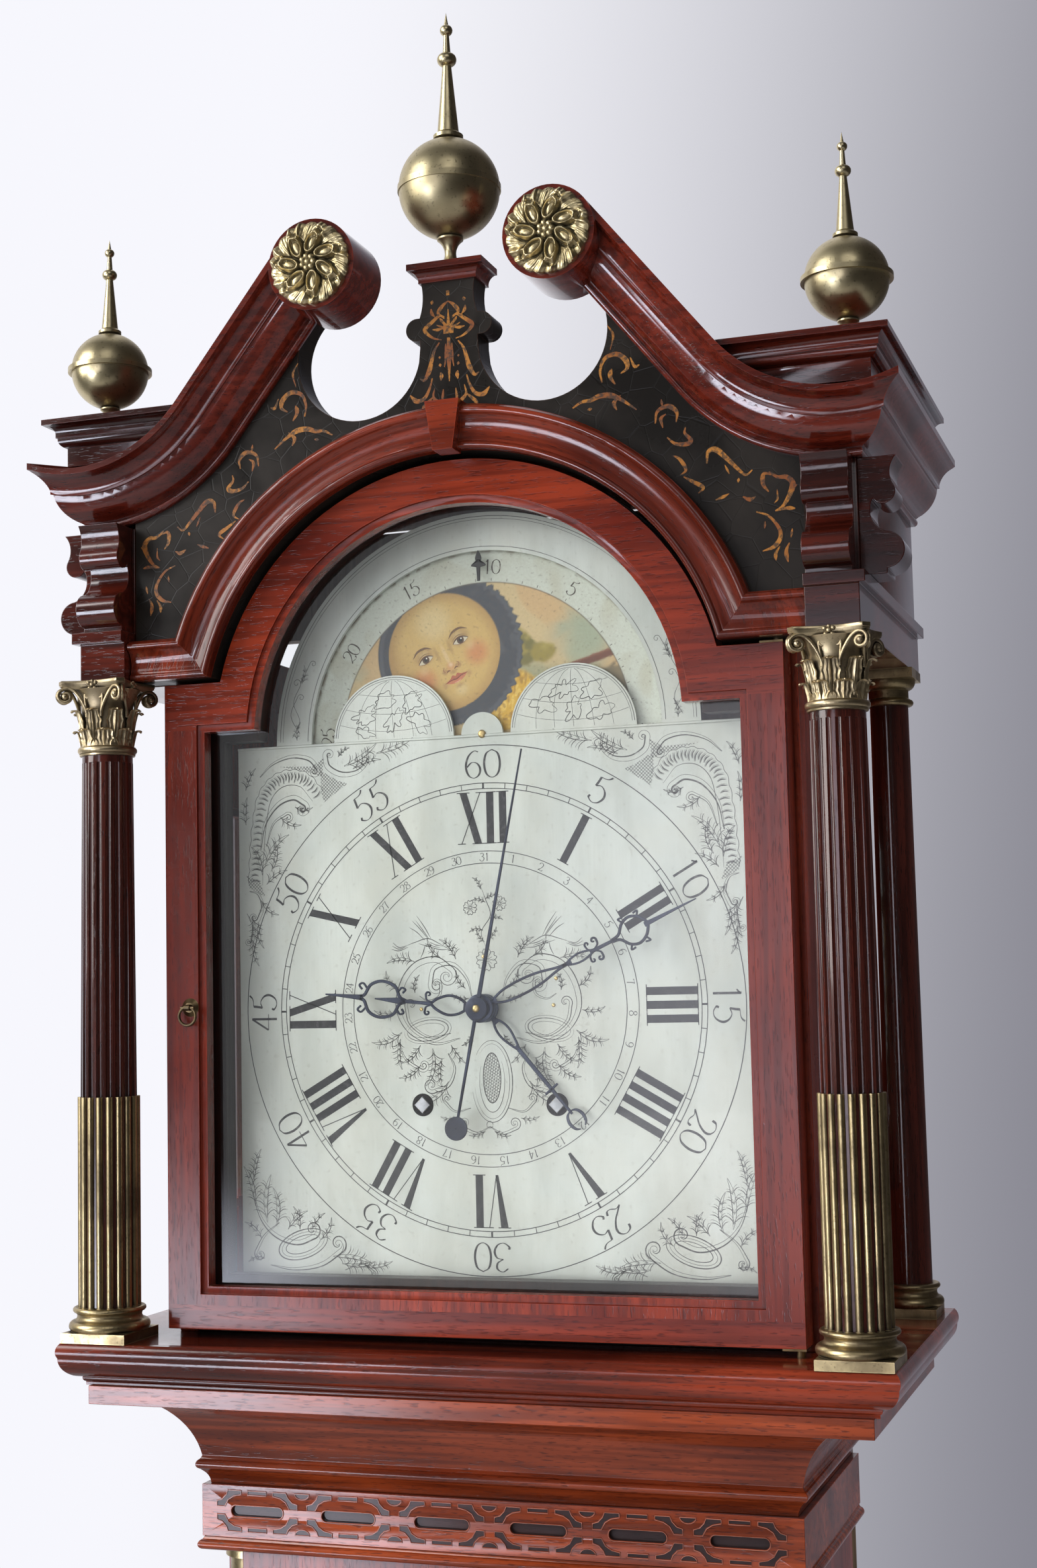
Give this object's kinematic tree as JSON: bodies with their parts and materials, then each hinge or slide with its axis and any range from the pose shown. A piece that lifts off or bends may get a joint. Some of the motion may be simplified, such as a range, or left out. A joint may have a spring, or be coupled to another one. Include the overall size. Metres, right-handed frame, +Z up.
{
  "type": "grandfather clock",
  "caption": "Tall longcase clock: bracket-footed base, slender trunk with arched door, columned hood with swan-neck pediment, and an engraved arch dial driven by weights and a pendulum.",
  "frame": {"origin": "on the floor, at the middle of the clock's width and overall depth", "axes": "+Z up, +X to the right of someone facing the dial, +Y towards the wall behind"},
  "size_m": [0.546, 0.26, 2.44],
  "materials": {
    "mahogany": "french polished, worn at the edges",
    "oak": "unpolished, darkened",
    "dark_wood": "dark stained",
    "painted_panel": "black-green ground with worn gilt scrolls, varnished",
    "cast_brass": "aged, low parts dark",
    "silvered_brass": "silvered, brushed, engraved in black",
    "painted_disc": "painted sky and moon, aged varnish",
    "blued_steel": "blued",
    "clock_brass": "polished, slightly dulled",
    "bell_metal": "turned",
    "bright_steel": "bright",
    "iron": "black painted",
    "gut": "twisted gut",
    "glass": "old clear glass"
  },
  "bodies": {
    "case": {"backboard": "oak", "base_carcass": "mahogany", "base_mouldings": "mahogany", "bracket_feet": "mahogany", "trunk_carcass": "mahogany", "trunk_quarter_columns": "mahogany", "trunk_brasses": "cast_brass", "throat_moulding": "mahogany", "fret_frieze": "mahogany", "seat_board": "oak", "dial_plate": "silvered_brass", "movement_frame": "clock_brass", "bell": "bell_metal", "going_line": "gut", "strike_line": "gut"},
    "hood": {"hood_base": "mahogany", "hood_sides": "mahogany", "hood_side_glasses": "glass", "dial_mask": "dark_wood", "hood_roof": "mahogany", "entablature": "mahogany", "console_brackets": "mahogany", "tympanum": "painted_panel", "arch_moulding": "mahogany", "pediment_mouldings": "mahogany", "rosettes": "cast_brass", "finials": "cast_brass", "column_shafts": "mahogany", "corinthian_capitals": "cast_brass", "column_brasses": "cast_brass"},
    "hood_door": {"hood_door_frame": "mahogany", "hood_door_glass": "glass", "hood_door_brasses": "cast_brass"},
    "pull_ring": {"door_pull_ring": "cast_brass"},
    "trunk_door": {"trunk_door": "mahogany", "trunk_door_brasses": "cast_brass"},
    "seconds": {"seconds_hand": "blued_steel", "escape_wheel": "clock_brass"},
    "third": {"third_wheel": "clock_brass"},
    "centre": {"centre_wheel": "clock_brass"},
    "going_great": {"going_great_wheel": "clock_brass"},
    "minute": {"minute_hand": "blued_steel", "cannon_wheel": "clock_brass"},
    "minute_idler": {"minute_wheel": "clock_brass"},
    "hour": {"hour_hand": "blued_steel", "hour_wheel": "clock_brass"},
    "calendar": {"calendar_hand": "blued_steel"},
    "moon": {"moon_disc": "painted_disc"},
    "going_drum": {"going_barrel": "clock_brass"},
    "going_driving_weight": {"going_weight": "iron"},
    "going_sheave": {"going_pulley": "clock_brass"},
    "strike_drum": {"strike_barrel": "clock_brass"},
    "strike_driving_weight": {"strike_weight": "iron"},
    "strike_sheave": {"strike_pulley": "clock_brass"},
    "strike_great": {"strike_great_wheel": "clock_brass"},
    "strike_pins": {"pin_wheel": "clock_brass"},
    "striker": {"hammer": "bright_steel"},
    "pendulum": {"pendulum_rod": "bright_steel", "pendulum_bob": "clock_brass"},
    "anchor": {"anchor_and_crutch": "bright_steel"}
  },
  "joints": [
    {"name": "hood_slide", "type": "slide", "parent": "case", "child": "hood", "axis": [0, -1, 0], "range_m": [0, 0.26]},
    {"name": "hood_door_hinge", "type": "hinge", "parent": "hood", "child": "hood_door", "pos_m": [0.193, -0.0785, 1.831], "axis": [0, 0, 1], "range_deg": [0, 100]},
    {"name": "pull_ring_swing", "type": "hinge", "parent": "hood_door", "child": "pull_ring", "pos_m": [-0.18, -0.0864, 1.835], "axis": [1, 0, 0], "range_deg": [-90, 0]},
    {"name": "trunk_door_hinge", "type": "hinge", "parent": "case", "child": "trunk_door", "pos_m": [0.1117, -0.0595, 1.031], "axis": [0, 0, 1], "range_deg": [0, 100]},
    {"name": "seconds_turn", "type": "hinge", "parent": "case", "child": "seconds", "pos_m": [0, 0.018, 1.831], "axis": [0, 1, 0], "continuous": true},
    {"name": "third_turn", "type": "hinge", "parent": "case", "child": "third", "pos_m": [0.02205, 0.018, 1.83053], "axis": [0, 1, 0], "continuous": true},
    {"name": "centre_turn", "type": "hinge", "parent": "case", "child": "centre", "pos_m": [0.01701, 0.018, 1.80207], "axis": [0, 1, 0], "continuous": true},
    {"name": "going_great_turn", "type": "hinge", "parent": "case", "child": "going_great", "pos_m": [0.043, 0.01, 1.773], "axis": [0, 1, 0], "continuous": true},
    {"name": "minute_turn", "type": "hinge", "parent": "case", "child": "minute", "pos_m": [0, -0.042, 1.831], "axis": [0, 1, 0], "continuous": true},
    {"name": "minute_idler_turn", "type": "hinge", "parent": "case", "child": "minute_idler", "pos_m": [0.02994, -0.008, 1.82914], "axis": [0, 1, 0], "continuous": true},
    {"name": "hour_turn", "type": "hinge", "parent": "case", "child": "hour", "pos_m": [0, -0.042, 1.831], "axis": [0, 1, 0], "continuous": true},
    {"name": "calendar_turn", "type": "hinge", "parent": "case", "child": "calendar", "pos_m": [0, -0.042, 1.831], "axis": [0, 1, 0], "continuous": true},
    {"name": "moon_turn", "type": "hinge", "parent": "case", "child": "moon", "pos_m": [0, -0.036, 1.998], "axis": [0, 1, 0], "continuous": true},
    {"name": "going_weight_rise", "type": "slide", "parent": "case", "child": "going_driving_weight", "axis": [0, 0, 1], "range_m": [0, 1.05], "deforming": ["going_line"]},
    {"name": "going_drum_turn", "type": "hinge", "parent": "case", "child": "going_drum", "pos_m": [0.043, 0.018, 1.773], "axis": [0, 1, 0], "range_deg": [0, 6250]},
    {"name": "going_sheave_turn", "type": "hinge", "parent": "going_driving_weight", "child": "going_sheave", "pos_m": [0.0443, 0.033, 0.601], "axis": [0, 1, 0], "range_deg": [0, 2950]},
    {"name": "strike_weight_rise", "type": "slide", "parent": "case", "child": "strike_driving_weight", "axis": [0, 0, 1], "range_m": [0, 1.05], "deforming": ["strike_line"]},
    {"name": "strike_drum_turn", "type": "hinge", "parent": "case", "child": "strike_drum", "pos_m": [-0.043, 0.018, 1.773], "axis": [0, 1, 0], "range_deg": [0, 6250]},
    {"name": "strike_sheave_turn", "type": "hinge", "parent": "strike_driving_weight", "child": "strike_sheave", "pos_m": [-0.0417, 0.033, 0.601], "axis": [0, 1, 0], "range_deg": [0, 2950]},
    {"name": "strike_great_turn", "type": "hinge", "parent": "case", "child": "strike_great", "pos_m": [-0.043, 0.01, 1.773], "axis": [0, 1, 0], "continuous": true},
    {"name": "strike_pins_turn", "type": "hinge", "parent": "case", "child": "strike_pins", "pos_m": [-0.0601, 0.058, 1.80805], "axis": [0, 1, 0], "continuous": true},
    {"name": "hammer_lift", "type": "hinge", "parent": "case", "child": "striker", "pos_m": [-0.054, 0.02, 1.865], "axis": [0, 1, 0], "range_deg": [-12, 0]},
    {"name": "pendulum_swing", "type": "hinge", "parent": "case", "child": "pendulum", "pos_m": [0, 0.08, 1.861], "axis": [0, 1, 0], "range_deg": [-3.5, 3.5]},
    {"name": "anchor_swing", "type": "hinge", "parent": "case", "child": "anchor", "pos_m": [0, 0.048, 1.861], "axis": [0, 1, 0], "range_deg": [-3.6, 3.6]}
  ],
  "couplings": [
    {"joint": "third_turn", "follows": "seconds_turn", "ratio": -0.125},
    {"joint": "centre_turn", "follows": "seconds_turn", "ratio": 0.016667},
    {"joint": "going_great_turn", "follows": "seconds_turn", "ratio": -0.0013889},
    {"joint": "minute_idler_turn", "follows": "seconds_turn", "ratio": -0.016667},
    {"joint": "minute_turn", "follows": "seconds_turn", "ratio": 0.016667},
    {"joint": "hour_turn", "follows": "seconds_turn", "ratio": 0.0013889},
    {"joint": "calendar_turn", "follows": "seconds_turn", "ratio": 0.000022401},
    {"joint": "moon_turn", "follows": "seconds_turn", "ratio": 0.00001177},
    {"joint": "going_drum_turn", "follows": "going_weight_rise", "rad_per_m": 103.09},
    {"joint": "going_sheave_turn", "follows": "going_weight_rise", "rad_per_m": 48.309},
    {"joint": "strike_drum_turn", "follows": "strike_weight_rise", "rad_per_m": 103.09},
    {"joint": "strike_sheave_turn", "follows": "strike_weight_rise", "rad_per_m": 48.309},
    {"joint": "strike_pins_turn", "follows": "strike_great_turn", "ratio": -12},
    {"joint": "anchor_swing", "follows": "pendulum_swing", "ratio": 1}
  ]
}
